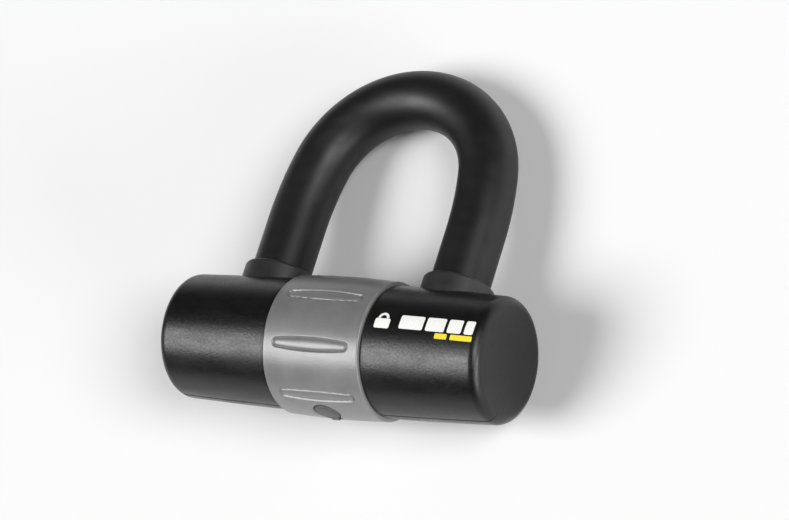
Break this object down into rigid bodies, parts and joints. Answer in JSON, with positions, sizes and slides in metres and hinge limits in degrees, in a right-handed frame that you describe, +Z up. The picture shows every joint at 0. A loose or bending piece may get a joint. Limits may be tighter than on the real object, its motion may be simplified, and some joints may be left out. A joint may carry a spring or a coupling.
{
  "type": "motorcycle disc brake lock",
  "caption": "Small shackle lock for a brake disc: a coated round shackle pulls out of a round crossbar with a grey grip band, a covered keyhole, and two deadbolts.",
  "frame": {"origin": "middle of the footprint, on the surface that the lock lies on", "axes": "+Z up from that surface, +X along the crossbar, +Y from the crossbar towards the shackle's crown; the key goes in from -Y"},
  "size_m": [0.1016, 0.1026, 0.0386],
  "materials": {
    "jacket": "black moulded plastic with a fine grain",
    "shackle_coat": "smooth satin black vinyl coat",
    "collar": "black rubber, finely textured",
    "band": "light grey soft-touch grip",
    "keyhole_trim": "dark grey moulded plastic",
    "hard_steel": "hardened steel, turned and ground",
    "cast_zinc": "bare die-cast zinc",
    "brass": "turned brass"
  },
  "bodies": {
    "shackle": {"shackle_core": "hard_steel", "shackle_coat": "shackle_coat"},
    "crossbar": {"crossbar_tube": "hard_steel", "jacket_left": "jacket", "jacket_right": "jacket", "centre_band": "band", "collar_left": "collar", "collar_right": "collar", "end_plug_left": "hard_steel", "end_plug_right": "hard_steel", "end_pin_left": "hard_steel", "end_pin_right": "hard_steel", "leg_guide_left": "cast_zinc", "leg_guide_right": "cast_zinc", "lock_housing": "cast_zinc", "housing_pin_left": "hard_steel", "housing_pin_right": "hard_steel", "cylinder_barrel": "brass", "barrel_pin": "hard_steel", "keyhole_sleeve": "keyhole_trim", "cover_hinge_pin": "hard_steel"},
    "key_rotor": {"lock_rotor": "brass", "anti_drill_plate": "hard_steel", "code_disc_1": "brass", "code_disc_2": "brass", "code_disc_3": "brass", "code_disc_4": "brass", "code_disc_5": "brass", "locking_bar": "hard_steel", "bolt_cam": "hard_steel"},
    "bolt_left": {"bolt_left": "hard_steel"},
    "bolt_right": {"bolt_right": "hard_steel"},
    "keyhole_cover": {"keyhole_cover": "keyhole_trim"}
  },
  "joints": [
    {"name": "crossbar_slide", "type": "slide", "parent": "shackle", "child": "crossbar", "axis": [0, -0.9891, 0.147], "range_m": [0, 0.04]},
    {"name": "key_turn", "type": "hinge", "parent": "crossbar", "child": "key_rotor", "pos_m": [0, -0.04202, 0.0208], "axis": [0, 0.9891, -0.147], "range_deg": [0, 90]},
    {"name": "bolt_left_slide", "type": "slide", "parent": "crossbar", "child": "bolt_left", "axis": [-1, 0, 0], "range_m": [0, 0.00368]},
    {"name": "bolt_right_slide", "type": "slide", "parent": "crossbar", "child": "bolt_right", "axis": [1, 0, 0], "range_m": [0, 0.00368]},
    {"name": "cover_swing", "type": "hinge", "parent": "crossbar", "child": "keyhole_cover", "pos_m": [0, -0.04996, 0.01703], "axis": [1, 0, 0], "range_deg": [0, 100]}
  ],
  "couplings": [
    {"joint": "key_turn", "follows": "bolt_left_slide", "rad_per_m": 427.19},
    {"joint": "bolt_right_slide", "follows": "bolt_left_slide", "ratio": 1}
  ]
}
